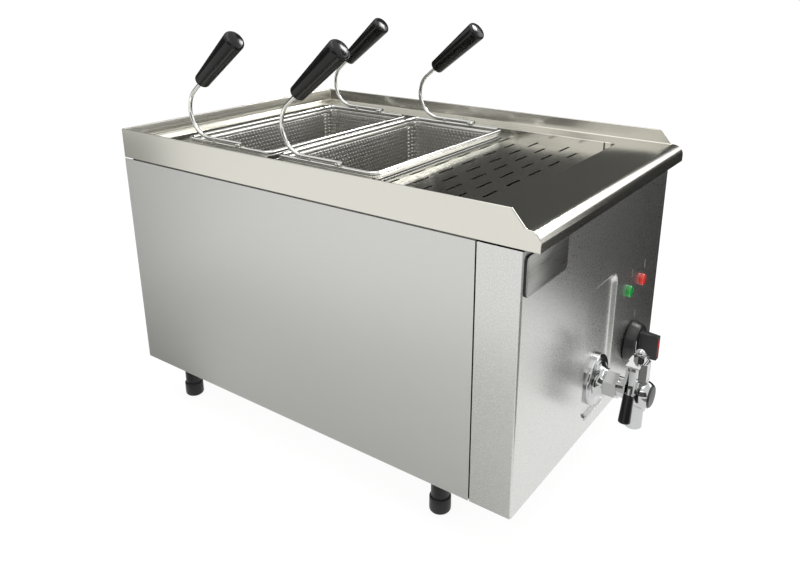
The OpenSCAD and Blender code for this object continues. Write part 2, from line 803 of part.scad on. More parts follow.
module rear_basket_mesh() basket_mesh(rear_basket_y);
module rear_basket_base() basket_base(rear_basket_y);
module rear_basket_rim() basket_rim(rear_basket_y);
module rear_left_handle_rod() handle_rod(-1, rear_basket_y);
module rear_right_handle_rod() handle_rod(1, rear_basket_y);
module rear_left_grip() grip(-1, rear_basket_y);
module rear_right_grip() grip(1, rear_basket_y);
module front_basket_mesh() basket_mesh(front_basket_y);
module front_basket_base() basket_base(front_basket_y);
module front_basket_rim() basket_rim(front_basket_y);
module front_left_handle_rod() handle_rod(-1, front_basket_y);
module front_right_handle_rod() handle_rod(1, front_basket_y);
module front_left_grip() grip(-1, front_basket_y);
module front_right_grip() grip(1, front_basket_y);

module drain_plate() {
  w = 2 * plate_half_w;
  lip_y = plate_front_y + lip_front;
  row_y = plate_front_y + row_front;
  color(steel) union() {
    difference() {
      translate([0, (plate_front_y + plate_rear_y) / 2, plate_z]) linear_extrude(plate_t)
        rounded_rect(w, plate_rear_y - plate_front_y, well_r);
      for (k = [0 : row_n - 1]) {
        reach = plate_half_w - slot_l - plate_t;
        n = floor((reach + slot_l / 2 - (k % 2) * slot_pitch / 2) / slot_pitch);
        for (i = [-n - k % 2 : n])
          translate([(i + (k % 2) / 2) * slot_pitch, row_y + k * row_pitch, plate_z - over])
            linear_extrude(plate_t + 2 * over) slot2d(slot_l, slot_w);
      }
    }
    for (s = [-1, 1])
      translate([s * (w - plate_t) / 2, lip_y + lip_l / 2, plate_z]) linear_extrude(deck_z - plate_z)
        square([plate_t, lip_l], center = true);
  }
}

// Domed cover with a deep skirt standing on the pan's back
module tap_rosette() {
  r = rosette_d / 2;
  bore_r = pipe_d / 2 + slip;
  neck_r = tap_hex_d / 2;
  flare = rosette_h - rosette_rim;
  profile = concat(
    [[bore_r, -recess_depth], [r, -recess_depth], [r, 0]],
    arc_points([r - rosette_rim, 0], rosette_rim, 0, 90, edge_steps),
    arc_points([neck_r + flare, rosette_h], flare, 270, 180, edge_steps),
    [[bore_r, rosette_h]]
  );
  color(bright) on_fascia(tap_x, tap_z) rotate_extrude() polygon(profile);
}

module tap_body() {
  color(bright) on_fascia(tap_x, tap_z) difference() {
    union() {
      translate([0, 0, rosette_h]) rotate([0, 0, 90])
        cylinder(d = tap_hex_d, h = tap_hex_end - rosette_h, $fn = 6);
      translate([0, 0, rosette_h]) cylinder(d = tap_neck_d, h = tap_ball_out - rosette_h);
      translate([0, 0, tap_ball_out]) sphere(tap_ball_r);
      translate([0, 0, valve_out]) rotate([-90, 0, 0]) cylinder(d = bonnet_d, h = bonnet_h);
      translate([0, 0, valve_out]) rotate([90, 0, 0]) cylinder(d = spout_d + collar, h = boss_drop);
    }
    translate([-tap_ball_r, -tap_ball_r, tap_reach - end_cap_t]) cube(2 * tap_ball_r);
    translate([0, 0, rosette_h - over]) cylinder(d = pipe_bore, h = valve_out - rosette_h + over);
    translate([0, 0, rosette_h - over]) cylinder(d = pipe_d + 2 * slip, h = socket_l + over);
    translate([0, 0, valve_out]) sphere(valve_ball_r + seat);
    translate([0, 0, valve_out]) rotate([90, 0, 0]) cylinder(d = pipe_bore, h = boss_drop + over);
    translate([0, 0, valve_out]) rotate([-90, 0, 0]) cylinder(d = spindle_d + 2 * slip, h = bonnet_h + over);
  }
}

module tap_end_cap() {
  r = sqrt(pow(tap_ball_r, 2) - pow(tap_reach - end_cap_t - tap_ball_out, 2));
  color("dimgray") on_fascia(tap_x, tap_z) translate([0, 0, tap_reach - end_cap_t])
    cylinder(r1 = r, r2 = r - end_cap_t, h = end_cap_t);
}

module tap_spout() {
  h = spout_drop - boss_drop;
  color(bright) translate([tap_x, valve_y, tap_z - spout_drop]) difference() {
    cylinder(d = spout_d, h = h);
    translate([0, 0, -over]) cylinder(d = pipe_bore, h = h + 2 * over);
  }
}

module tap_gland_nut() {
  color(bright) translate([tap_x, valve_y, tap_z + bonnet_h]) difference() {
    cylinder(d = gland_nut_d, h = gland_nut_h, $fn = 6);
    translate([0, 0, -over]) cylinder(d = spindle_d + 2 * slip, h = gland_nut_h + 2 * over);
  }
}

// Spindle with a flat tongue that turns the ball
module tap_spindle() {
  color(steel) translate([tap_x, valve_y, tap_z]) {
    translate([0, 0, valve_ball_r]) cylinder(d = spindle_d, h = spindle_l - valve_ball_r);
    intersection() {
      translate([0, 0, ball_flat + slip]) cylinder(d = spindle_d, h = valve_ball_r - ball_flat);
      translate([-tongue_w / 2, -spindle_d, 0]) cube([tongue_w, 2 * spindle_d, 2 * valve_ball_r]);
    }
  }
}

// Ball with an angled port: down into the spout, sideways into the pipe when open
module valve_ball() {
  color(steel) translate([tap_x, valve_y, tap_z]) difference() {
    sphere(valve_ball_r);
    translate([0, 0, -valve_ball_r - over]) cylinder(d = pipe_bore, h = valve_ball_r + over);
    rotate([0, 90, 0]) cylinder(d = pipe_bore, h = valve_ball_r + over);
    translate([-tongue_w / 2 - slip, -valve_ball_r, ball_flat])
      cube([tongue_w + 2 * slip, 2 * valve_ball_r, valve_ball_r]);
  }
}

// Frame on the lever's arm: Z down along the arm, X away from the spindle
module along_arm() {
  translate([tap_x - arm_r, valve_y, lever_z]) rotate([0, 180 + arm_lean, 0]) children();
}

// Pressed plate on the spindle, bent down into an open channel that holds a round arm
module tap_lever() {
  half = cheek_w / 2;
  color(steel) difference() {
    union() {
      block([tap_x - lever_reach, valve_y - lever_w / 2, lever_z],
            [tap_x + lever_tail, valve_y + lever_w / 2, lever_z + lever_t]);
      intersection() {
        along_arm() {
          for (s = [-1, 1])
            translate([-half, s * (lever_w / 2 - lever_t) - lever_t / 2, -cheek_w])
              cube([cheek_w, lever_t, cheek_h + cheek_w]);
          translate([slip - half, lever_t - lever_w / 2, arm_d])
            cube([lever_t, lever_w - 2 * lever_t, cheek_h - arm_d - slip]);
          translate([0, 0, cheek_h - arm_d]) cylinder(d = arm_d, h = arm_l - cheek_h + arm_d);
        }
        block([tap_x - 2 * arm_l, valve_y - lever_w, lever_z - 2 * arm_l],
              [tap_x, valve_y + lever_w, lever_z + lever_t / 2]);
      }
    }
    translate([tap_x, valve_y, lever_z - over]) cylinder(d = spindle_d + 2 * slip, h = lever_t + 2 * over);
  }
}

module tap_lever_sleeve() {
  color(black) along_arm() translate([0, 0, sleeve_start]) difference() {
    rotate_extrude() polygon(concat(
      [[0, 0], [sleeve_d1 / 2, 0]],
      arc_points([sleeve_d2 / 2 - sleeve_edge, sleeve_l - sleeve_edge], sleeve_edge, 0, 90, edge_steps),
      [[0, sleeve_l]]
    ));
    translate([0, 0, -over]) cylinder(d = arm_d + 2 * slip, h = arm_l - sleeve_start + over + seat);
  }
}

module tap_cap_nut() {
  color(bright) translate([tap_x, valve_y, lever_z + lever_t]) difference() {
    union() {
      cylinder(d = cap_nut_d, h = cap_nut_h, $fn = 6);
      translate([0, 0, cap_nut_h]) intersection() {
        sphere(d = cap_nut_d * cos(30));
        cylinder(d = cap_nut_d, h = cap_nut_d);
      }
    }
    translate([0, 0, -over]) cylinder(d = spindle_d + 2 * slip, h = cap_nut_h + over + slip);
  }
}

// Round skirt with a tapered bar across it
module thermostat_knob() {
  r = skirt_d / 2;
  bar_h = bar_out - skirt_gap;
  color(black) on_fascia(control_x, control_z) translate([0, 0, skirt_gap]) difference() {
    union() {
      rotate_extrude() polygon(concat(
        [[0, 0], [r, 0], [r, skirt_h / 4]],
        arc_points([r - bar_taper - skirt_edge, skirt_h - skirt_edge], skirt_edge, 0, 90, edge_steps),
        [[0, skirt_h]]
      ));
      intersection() {
        rotate([0, -90, 0]) linear_extrude(2 * bar_w, center = true) polygon([
          [0, -bar_l / 2], [0, bar_l / 2], [bar_h, bar_l / 2 - bar_taper], [bar_h, bar_taper - bar_l / 2]
        ]);
        rotate([90, 0, 0]) linear_extrude(2 * bar_l, center = true) polygon([
          [-bar_w / 2, 0], [bar_w / 2, 0], [bar_w / 2 - bar_taper, bar_h], [bar_taper - bar_w / 2, bar_h]
        ]);
      }
    }
    translate([-insert_w / 2 - slip, bar_taper - bar_l / 2 + insert_w - slip, bar_h - insert_t])
      cube([insert_w + 2 * slip, bar_l - 2 * bar_taper - 2 * insert_w + 2 * slip, insert_t + over]);
    translate([0, 0, -over]) cylinder(d = shaft_d + 2 * slip, h = bar_h / 2 + over + slip);
  }
}

module knob_insert() {
  bar_h = bar_out - skirt_gap;
  color("crimson") on_fascia(control_x, control_z)
    translate([-insert_w / 2, bar_taper - bar_l / 2 + insert_w, skirt_gap + bar_h - insert_t])
      cube([insert_w, bar_l - 2 * bar_taper - 2 * insert_w, insert_t]);
}

module knob_shaft() {
  inside = thermostat_h / 2 + sheet_t;
  color(steel) on_fascia(control_x, control_z) translate([0, 0, -inside])
    cylinder(d = shaft_d, h = inside + skirt_gap + (bar_out - skirt_gap) / 2);
}

module thermostat() {
  s = thermostat_s / 2;
  color("beige") on_fascia(control_x, control_z) difference() {
    translate([-s, -s, -sheet_t - thermostat_h]) cube([2 * s, 2 * s, thermostat_h]);
    translate([0, 0, -sheet_t - thermostat_h / 2 - seat]) cylinder(d = shaft_d + 2 * slip, h = thermostat_h);
  }
}

// Probe through the tank wall and the thin tube that leads to the thermostat
module thermostat_bulb() {
  out_y = (tank_front_y + fascia_y + sheet_t + thermostat_h) / 2;
  bulb_z = floor_z + bulb_rise;
  top = [control_x, out_y, control_z + thermostat_s / 4];
  back_y = fascia_y + sheet_t + thermostat_h;
  color("peru") {
    translate([bulb_x, out_y, bulb_z]) rotate([-90, 0, 0])
      cylinder(d = bulb_d, h = tank_front_y + tank_t + bulb_l - out_y);
    translate([bulb_x, out_y, bulb_z]) sphere(d = capillary_d);
    translate([bulb_x, out_y, top[2]]) cylinder(d = capillary_d, h = bulb_z - top[2]);
    translate([bulb_x, out_y, top[2]]) sphere(d = capillary_d);
    translate([bulb_x, out_y, top[2]]) rotate([0, 90, 0]) cylinder(d = capillary_d, h = control_x - bulb_x);
    translate(top) sphere(d = capillary_d);
    translate([control_x, back_y, top[2]]) rotate([-90, 0, 0]) cylinder(d = capillary_d, h = out_y - back_y);
  }
}

module bulb_gland() {
  color("goldenrod") translate([bulb_x, tank_front_y, floor_z + bulb_rise]) rotate([90, 0, 0]) difference() {
    cylinder(d = 2 * bulb_d + collar, h = bulb_d, $fn = 6);
    translate([0, 0, -over]) cylinder(d = bulb_d + 2 * slip, h = bulb_d + 2 * over);
  }
}

module safety_cutout() {
  color("black") translate([-bulb_x, tank_front_y, floor_z + cutout_rise]) rotate([90, 0, 0]) {
    cylinder(d = cutout_d, h = cutout_h);
    cylinder(d = cutout_d / 4, h = cutout_h + cutout_d / 4);
  }
}

// Short stepped lens on the fascia
module lamp_lens(s) {
  on_fascia(control_x + s * lamp_pitch / 2, foot_h + lamp_rise) rotate_extrude() polygon(concat(
    [[0, 0], [lens_d / 2, 0]],
    arc_points([lens_d / 2 - lens_edge, lens_h - lens_edge], lens_edge, 0, 90, edge_steps), [[0, lens_h]]
  ));
}

module green_lamp_lens() color("green") lamp_lens(-1);
module red_lamp_lens() color("red") lamp_lens(1);

module lamp_bodies() {
  color("white") for (s = [-1, 1])
    on_fascia(control_x + s * lamp_pitch / 2, foot_h + lamp_rise) {
      translate([0, 0, -lamp_l]) cylinder(d = lamp_d, h = lamp_l);
      translate([0, 0, -sheet_t - lamp_d / 4]) cylinder(d = lamp_d + collar, h = lamp_d / 4);
    }
}

// Hairpin rods that enter through the tank's front wall
module heating_elements() {
  start_y = tank_front_y - element_end_l;
  bend_y = tank_rear_y - element_rear - element_bend_r;
  color("darkslategray") for (i = [0 : element_n - 1])
    translate([element_x(i), 0, floor_z + element_rise]) {
      for (s = [-1, 1]) translate([s * element_bend_r, start_y, 0]) rotate([-90, 0, 0])
        cylinder(d = element_d, h = bend_y - start_y);
      translate([0, bend_y, 0]) rotate_extrude(angle = 180)
        translate([element_bend_r, 0]) circle(d = element_d);
    }
}

module element_nuts() {
  color("goldenrod") for (i = [0 : element_n - 1], s = [-1, 1])
    translate([element_x(i) + s * element_bend_r, tank_front_y, floor_z + element_rise])
      rotate([90, 0, 0]) difference() {
        cylinder(d = element_nut_d, h = element_nut_h, $fn = 6);
        translate([0, 0, -over]) cylinder(d = element_d + 2 * slip, h = element_nut_h + 2 * over);
      }
}

// Section of the drain pipe
module pipe_ring(d) {
  difference() {
    circle(d = d);
    circle(d = pipe_bore);
  }
}

// Elbow from the tank floor to the tap
module drain_pipe() {
  bend_z = tap_z + drain_bend_r;
  bend_y = drain_y - drain_bend_r;
  end_y = fascia_y - rosette_h - socket_l + seat;
  color(steel) {
    translate([tap_x, drain_y, bend_z]) linear_extrude(floor_under_z - bend_z) pipe_ring(pipe_d);
    translate([tap_x, drain_y, floor_under_z - tank_t]) linear_extrude(tank_t) pipe_ring(drain_flange_d);
    translate([tap_x, bend_y, bend_z]) rotate([0, 90, 0]) rotate_extrude(angle = 90)
      translate([drain_bend_r, 0]) pipe_ring(pipe_d);
    translate([tap_x, bend_y, tap_z]) rotate([90, 0, 0]) linear_extrude(bend_y - end_y) pipe_ring(pipe_d);
  }
}

module terminal_block() {
  z = base_z + sheet_t;
  y = rear_fold_y - 2 * terminal_d;
  pitch = terminal_w / terminal_ways;
  color("white") difference() {
    translate([inlet_x - terminal_w / 2, y - terminal_d / 2, z]) cube([terminal_w, terminal_d, terminal_h]);
    for (i = [0 : terminal_ways - 1])
      translate([inlet_x + (i - (terminal_ways - 1) / 2) * pitch, y, z + terminal_h / 2])
        cylinder(d = pitch / 2, h = terminal_h);
  }
}

// Gland through the rear panel, with its locknut inside
module cable_gland() {
  inside = gland_d / 3;
  color(black) translate([inlet_x, rear_face_y, foot_h + inlet_rise]) rotate([-90, 0, 0]) difference() {
    union() {
      cylinder(d = gland_d * nut_share, h = gland_out / 2, $fn = 6);
      cylinder(d1 = gland_d, d2 = gland_bore + collar, h = gland_out);
      translate([0, 0, -sheet_t - over]) cylinder(d = gland_d, h = sheet_t + 2 * over);
      translate([0, 0, -sheet_t - inside]) cylinder(d = gland_d * nut_share, h = inside, $fn = 6);
    }
    translate([0, 0, -sheet_t - inside - over])
      cylinder(d = gland_bore, h = sheet_t + inside + gland_out + 2 * over);
  }
}

module panel_screws() {
  color(bright) for (s = [-1, 1], z = screw_rows)
    translate([s * screw_x, rear_face_y, z]) rotate([-90, 0, 0]) {
      translate([0, 0, -screw_shank_l]) cylinder(d = screw_shank_d, h = screw_shank_l + over);
      intersection() {
        cylinder(d = screw_head_d, h = screw_head_h);
        translate([0, 0, screw_head_h - screw_head_d]) sphere(screw_head_d);
      }
    }
}

// Fixed legs with a stud through the fold and the base plate
module foot_legs() {
  low = cup_floor + seat;
  color(black) for (p = foot_places) translate([p[0], p[1], 0]) difference() {
    union() {
      translate([0, 0, low]) cylinder(d = leg_d, h = foot_h - low);
      translate([0, 0, foot_h - over]) cylinder(d = screw_d, h = over + 2 * sheet_t + screw_d);
    }
    translate([0, 0, low - over]) cylinder(d = screw_d + 2 * slip, h = screw_l + over + part_gap);
  }
}

// Cup that screws down out of its leg
module foot_cup(p) {
  r = cup_d / 2;
  color(black) translate([p[0], p[1], 0]) {
    difference() {
      rotate_extrude() polygon(concat(
        [[0, 0]], arc_points([r - cup_edge, cup_edge], cup_edge, -90, 0, edge_steps),
        [[r, cup_h - cup_chamfer], [r - cup_chamfer, cup_h], [0, cup_h]]
      ));
      translate([0, 0, cup_floor]) cylinder(d = leg_d + 2 * slip, h = cup_h);
    }
    translate([0, 0, cup_floor - over]) cylinder(d = screw_d, h = screw_l + over);
  }
}

module front_left_foot() foot_cup(foot_places[0]);
module front_right_foot() foot_cup(foot_places[1]);
module rear_left_foot() foot_cup(foot_places[2]);
module rear_right_foot() foot_cup(foot_places[3]);

worktop();
tank();
false_bottom();
left_side_panel();
right_side_panel();
rear_panel();
front_fascia();
base_plate();
recess_pan();
badge_plate();
rear_basket_mesh();
rear_basket_base();
rear_basket_rim();
rear_left_handle_rod();
rear_right_handle_rod();
rear_left_grip();
rear_right_grip();
front_basket_mesh();
front_basket_base();
front_basket_rim();
front_left_handle_rod();
front_right_handle_rod();
front_left_grip();
front_right_grip();
drain_plate();
tap_rosette();
tap_body();
tap_end_cap();
tap_spout();
tap_gland_nut();
tap_spindle();
valve_ball();
tap_lever();
tap_lever_sleeve();
tap_cap_nut();
thermostat_knob();
knob_insert();
knob_shaft();
thermostat();
thermostat_bulb();
bulb_gland();
safety_cutout();
green_lamp_lens();
red_lamp_lens();
lamp_bodies();
heating_elements();
element_nuts();
drain_pipe();
terminal_block();
cable_gland();
panel_screws();
foot_legs();
front_left_foot();
front_right_foot();
rear_left_foot();
rear_right_foot();
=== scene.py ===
import json
import math
import bpy
import bmesh
from mathutils import Matrix, Vector


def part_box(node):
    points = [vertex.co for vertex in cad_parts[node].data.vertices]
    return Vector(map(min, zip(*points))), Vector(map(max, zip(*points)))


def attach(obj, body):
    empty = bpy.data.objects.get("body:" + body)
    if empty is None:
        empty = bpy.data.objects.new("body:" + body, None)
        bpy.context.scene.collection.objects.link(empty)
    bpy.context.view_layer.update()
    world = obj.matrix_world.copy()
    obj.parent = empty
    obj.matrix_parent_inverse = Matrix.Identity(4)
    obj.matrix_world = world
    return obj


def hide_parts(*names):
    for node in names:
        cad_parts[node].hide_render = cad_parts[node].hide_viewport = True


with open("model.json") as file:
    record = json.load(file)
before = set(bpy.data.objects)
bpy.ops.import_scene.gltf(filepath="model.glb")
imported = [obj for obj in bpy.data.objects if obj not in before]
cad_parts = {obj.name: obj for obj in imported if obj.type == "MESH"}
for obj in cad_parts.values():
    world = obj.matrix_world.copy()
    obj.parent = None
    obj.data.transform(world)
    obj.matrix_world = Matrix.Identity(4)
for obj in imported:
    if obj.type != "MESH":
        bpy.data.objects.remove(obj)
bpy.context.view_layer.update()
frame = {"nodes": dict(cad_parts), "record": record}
nodes = frame["nodes"]
bodyOf = {node: body for body, group in frame["record"]["behaviour"]["bodies"].items() for node in group}
mm = 0.001
sameSpot = 0.01  # points nearer than this are one point, in mm
print("frame loaded:", len(nodes), "nodes")


# lowest and highest corner of a CAD node in mm
def boxOf(node):
    return [[round(c / mm, 3) for c in corner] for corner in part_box(node)]


fasciaY = boxOf("front_fascia")[0][1]  # front face of the fascia


# colours are written as sRGB hex and turned to linear here
def linear(hexCode):
    parts = [int(hexCode[i:i + 2], 16) / 255 for i in (1, 3, 5)]
    return [c / 12.92 if c <= 0.04045 else ((c + 0.055) / 1.055) ** 2.4 for c in parts] + [1.0]


# one node with its settings and its incoming links
def addNode(tree, kind, settings=None, links=None):
    node = tree.nodes.new(kind)
    for key, value in (settings or {}).items():
        if key in node.inputs:
            node.inputs[key].default_value = value
        else:
            setattr(node, key, value)
    for key, source in (links or {}).items():
        tree.links.new(source, node.inputs[key])
    return node


# what most finishes share; cloud is the size of the large soft patches and depth the bump's, both in mm
plainLook = dict(detail=4.0, harshness=0.6, cloud=167, cloudDetail=2.0, span=(0.3, 0.7), depth=0.05)


# grain and cloud, two noises on Object coordinates, drive tone, roughness and bump of one surface
def surface(name, finish):
    look = {**plainLook, **finish}
    mat = bpy.data.materials.new(name)
    mat.use_nodes = True
    tree = mat.node_tree
    shader = tree.nodes["Principled BSDF"]
    coords = addNode(tree, "ShaderNodeTexCoord").outputs["Object"]
    place = addNode(tree, "ShaderNodeMapping", {"Scale": [1 / (size * mm) for size in look["grain"]]},
                    {"Vector": coords})
    grain = addNode(tree, "ShaderNodeTexNoise",
                    {"Scale": 1.0, "Detail": look["detail"], "Roughness": look["harshness"]},
                    {"Vector": place.outputs["Vector"]}).outputs["Fac"]
    cloud = addNode(tree, "ShaderNodeTexNoise",
                    {"Scale": 1 / (look["cloud"] * mm), "Detail": look["cloudDetail"]},
                    {"Vector": coords}).outputs["Fac"]
    tone = addNode(tree, "ShaderNodeMixRGB", {"Fac": look["mix"]},
                   {"Color1": grain, "Color2": cloud}).outputs["Color"]
    ramp = addNode(tree, "ShaderNodeValToRGB", {}, {"Fac": tone})
    for stop, position, colour in zip(ramp.color_ramp.elements, look["span"], (look["low"], look["high"])):
        stop.position = position
        stop.color = linear(colour)
    rough = addNode(tree, "ShaderNodeMapRange",
                    {"From Min": look["span"][0], "From Max": look["span"][1],
                     "To Min": look["rough"][0], "To Max": look["rough"][1]}, {"Value": tone})
    bump = addNode(tree, "ShaderNodeBump",
                   {"Strength": look["bump"], "Distance": look["depth"] * mm}, {"Height": grain})
    tree.links.new(ramp.outputs["Color"], shader.inputs["Base Color"])
    tree.links.new(rough.outputs["Result"], shader.inputs["Roughness"])
    tree.links.new(bump.outputs["Normal"], shader.inputs["Normal"])
    for key, value in look["shader"].items():
        shader.inputs[key].default_value = value
    return mat


metal = {"Metallic": 1.0}

# grain is the size of the fine marks along X, Y and Z, in mm
finishes = {
    # satin stainless sheet: even grey, the rolled grain only just shows
    "satinStainlessSheet": dict(low="#D0D0CD", high="#D6D6D3", rough=(0.34, 0.40), grain=(40, 40, 1.11),
                                mix=0.6, cloud=400, bump=0.02, shader=metal),
    # bright rolled stainless of the pressed top: warmer and glossier than the panels
    "brightStainlessTop": dict(low="#D6D4CB", high="#DCDAD1", rough=(0.16, 0.19), grain=(33.3, 1.43, 1.43),
                               mix=0.5, cloud=333, bump=0.01, shader=metal),
    # grained stainless of the fascia: 1.5 mm sparkle, drawn as coarse as it needs to show
    "grainedStainlessFascia": dict(low="#C9C9C7", high="#E2E2DF", rough=(0.25, 0.33),
                                   grain=(1.54, 1.54, 1.54), mix=0.1, detail=6.0, bump=0.22, shader=metal),
    # drawn stainless of the tank, dulled by water
    "drawnStainlessTank": dict(low="#B4B4B0", high="#C2C2BE", rough=(0.30, 0.38), grain=(16.7, 16.7, 16.7),
                               mix=0.6, bump=0.04, shader=metal),
    # perforated basket sheet: pickled after welding, so duller than the wire
    "perforatedStainless": dict(low="#C4C3BE", high="#D0CFCA", rough=(0.34, 0.46), grain=(5.56, 5.56, 5.56),
                                mix=0.5, bump=0.05, shader=metal),
    # plain rolled band above the holes: smoother than the punched sheet, and its lighter tone is a painted
    # sheen
    "rolledBandPaintedSheen": dict(low="#E6E5E0", high="#F2F1EC", rough=(0.22, 0.28), grain=(25, 25, 1.43),
                                mix=0.3, bump=0.03, shader=metal),
    # electropolished wire and rod: near mirror, with thin bright lines
    "polishedSteelRod": dict(low="#D9D9D5", high="#E8E8E4", rough=(0.09, 0.13), grain=(2, 2, 2),
                             mix=0.4, bump=0.02, shader=metal),
    # chrome plate on brass: a mirror, a little darker than polished steel
    "chromePlate": dict(low="#BCBDBD", high="#C8C9C9", rough=(0.08, 0.09), grain=(8.33, 8.33, 8.33),
                        mix=0.6, bump=0.01, shader=metal),
    # compression-moulded phenolic grips: deep black gloss
    "phenolicGrip": dict(low="#0E0E0E", high="#131313", rough=(0.13, 0.15), grain=(6.67, 6.67, 6.67),
                         mix=0.5, bump=0.0, shader={"IOR": 1.38}),
    # moulded nylon of feet and legs: dull black with a fine texture
    "nylonFoot": dict(low="#0C0C0C", high="#131313", rough=(0.38, 0.50), grain=(1.11, 1.11, 1.11),
                      mix=0.3, bump=0.15, shader={"IOR": 1.42}),
    # moulded ABS knob: satin black with a fine spark-eroded texture
    "moldedKnob": dict(low="#141414", high="#1C1C1C", rough=(0.28, 0.40), grain=(0.91, 0.91, 0.91),
                       mix=0.3, bump=0.1, shader={"IOR": 1.53}),
    # red ABS insert: smooth, with a soft gloss
    "redInsert": dict(low="#C8281E", high="#D8382A", rough=(0.20, 0.30), grain=(2, 2, 2),
                      mix=0.5, bump=0.03, shader={"IOR": 1.53}),
    # tinted polycarbonate lenses: strong colour under a clear gloss
    "greenLens": dict(low="#0A8A34", high="#14A544", rough=(0.08, 0.14), grain=(3.33, 3.33, 3.33),
                      mix=0.5, bump=0.02, shader={"IOR": 1.58, "Coat Weight": 0.5}),
    "redLens": dict(low="#D2281C", high="#E6382A", rough=(0.08, 0.14), grain=(3.33, 3.33, 3.33),
                    mix=0.5, bump=0.02, shader={"IOR": 1.58, "Coat Weight": 0.5}),
    # brushed face of the blank badge: short strokes along its length
    "brushedBadgeFace": dict(low="#9C9C99", high="#BDBDBA", rough=(0.26, 0.36), grain=(22.2, 1.11, 1.11),
                             mix=0.15, detail=6.0, bump=0.06, shader=metal),
    # black pad behind the badge: painted shade, a dull black edge where the badge's side and gap fall in
    # shade
    "paintedShadePad": dict(low="#0E0E0E", high="#161616", rough=(0.45, 0.60), grain=(1.67, 1.67, 1.67),
                      mix=0.4, bump=0.1, shader={"IOR": 1.5}),
    # screen-printed marks: flat pale ink with a slight unevenness
    "palePrint": dict(low="#8F8F8D", high="#A8A8A6", rough=(0.45, 0.55), grain=(1.11, 1.11, 1.11),
                      mix=0.3, bump=0.02, shader={"IOR": 1.48}),
    # painted highlight: flat white on the knob skirt's left rim, where the glossy edge catches the light
    "paintedHighlightWhite": dict(low="#E4E4E0", high="#F0F0EC", rough=(0.40, 0.50), grain=(1.11, 1.11, 1.11),
                       mix=0.3, bump=0.02, shader={"IOR": 1.48}),
    # turned brass nuts: warm yellow, softly uneven
    "turnedBrass": dict(low="#B08A4A", high="#C8A462", rough=(0.22, 0.34), grain=(3.33, 3.33, 3.33),
                        mix=0.5, bump=0.05, shader=metal),
    # drawn copper capillary: reddish, handled to a satin
    "drawnCopper": dict(low="#A8683F", high="#C07C50", rough=(0.25, 0.38), grain=(5, 5, 5),
                        mix=0.5, bump=0.05, shader=metal),
    # oxidised sheath of the heating elements: dark and patchy
    "oxidisedSheath": dict(low="#3A3A38", high="#565450", rough=(0.40, 0.55), grain=(4, 4, 4),
                           mix=0.5, bump=0.1, shader=metal),
    # white polyamide of the electrical pieces: off-white and waxy
    "whitePolyamide": dict(low="#D6D4CC", high="#E2E0D8", rough=(0.42, 0.52), grain=(2, 2, 2),
                           mix=0.4, bump=0.06, shader={"IOR": 1.5}),
}
mats = {name: surface(name, finish) for name, finish in finishes.items()}
print("materials:", len(mats))

# finish of every CAD node, which a copy of the node takes too
finishGroups = {
    "satinStainlessSheet": ["left_side_panel", "right_side_panel", "rear_panel", "base_plate"],
    "brightStainlessTop": ["worktop", "drain_plate"],
    "grainedStainlessFascia": ["front_fascia", "recess_pan"],
    "drawnStainlessTank": ["tank", "false_bottom", "drain_pipe"],
    "perforatedStainless": ["rear_basket_mesh", "rear_basket_base",
                            "front_basket_mesh", "front_basket_base"],
    "polishedSteelRod": ["rear_basket_rim", "rear_left_handle_rod", "rear_right_handle_rod",
                         "front_basket_rim", "front_left_handle_rod", "front_right_handle_rod",
                         "panel_screws", "knob_shaft", "tap_spindle", "valve_ball"],
    "chromePlate": ["tap_rosette", "tap_body", "tap_spout", "tap_gland_nut", "tap_cap_nut", "tap_lever"],
    "phenolicGrip": ["rear_left_grip", "rear_right_grip", "front_left_grip", "front_right_grip",
                     "tap_lever_sleeve"],
    "nylonFoot": ["foot_legs", "front_left_foot", "front_right_foot", "rear_left_foot", "rear_right_foot",
                  "cable_gland", "safety_cutout"],
    "moldedKnob": ["thermostat_knob", "tap_end_cap"],
    "redInsert": ["knob_insert"],
    "greenLens": ["green_lamp_lens"],
    "redLens": ["red_lamp_lens"],
    "brushedBadgeFace": ["badge_plate"],
    "turnedBrass": ["element_nuts", "bulb_gland"],
    "drawnCopper": ["thermostat_bulb"],
    "oxidisedSheath": ["heating_elements"],
    "whitePolyamide": ["thermostat", "lamp_bodies", "terminal_block"],
}
finishOf = {node: finish for finish, group in finishGroups.items() for node in group}
for node, finish in finishOf.items():
    nodes[node].data.materials.clear()
    nodes[node].data.materials.append(mats[finish])


def addObject(name, data):
    thing = bpy.data.objects.new(name, data)
    bpy.context.scene.collection.objects.link(thing)
    return thing


# a finished bmesh becomes an object of one material
def addMesh(bm, name, material):
    mesh = bpy.data.meshes.new(name)
    bm.to_mesh(mesh)
    bm.free()
    mesh.materials.append(material)
    return addObject(name, mesh)


# an object that is part of the machine: it rides on a body, and smooth is its crease angle in degrees
def makePiece(bm, name, finish, body, stands=(), smooth=40):
    piece = addMesh(bm, name, mats[finish])
    piece.data.shade_smooth()
    piece.data.set_sharp_from_angle(angle=math.radians(smooth))
    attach(piece, body)
    if stands:
        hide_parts(*stands)
    return piece


def vertsOf(geom):
    return [part for part in geom if isinstance(part, bmesh.types.BMVert)]


def thicken(piece, thickness):
    wall = piece.modifiers.new("sheet", "SOLIDIFY")
    wall.thickness = thickness * mm
    wall.offset = -1


# how copies are cleaned: merging in mm, then in degrees what counts as flat, as a crease and as an edge
dressing = dict(merge=0.002, flat=0.5, crease=35, edge=40)


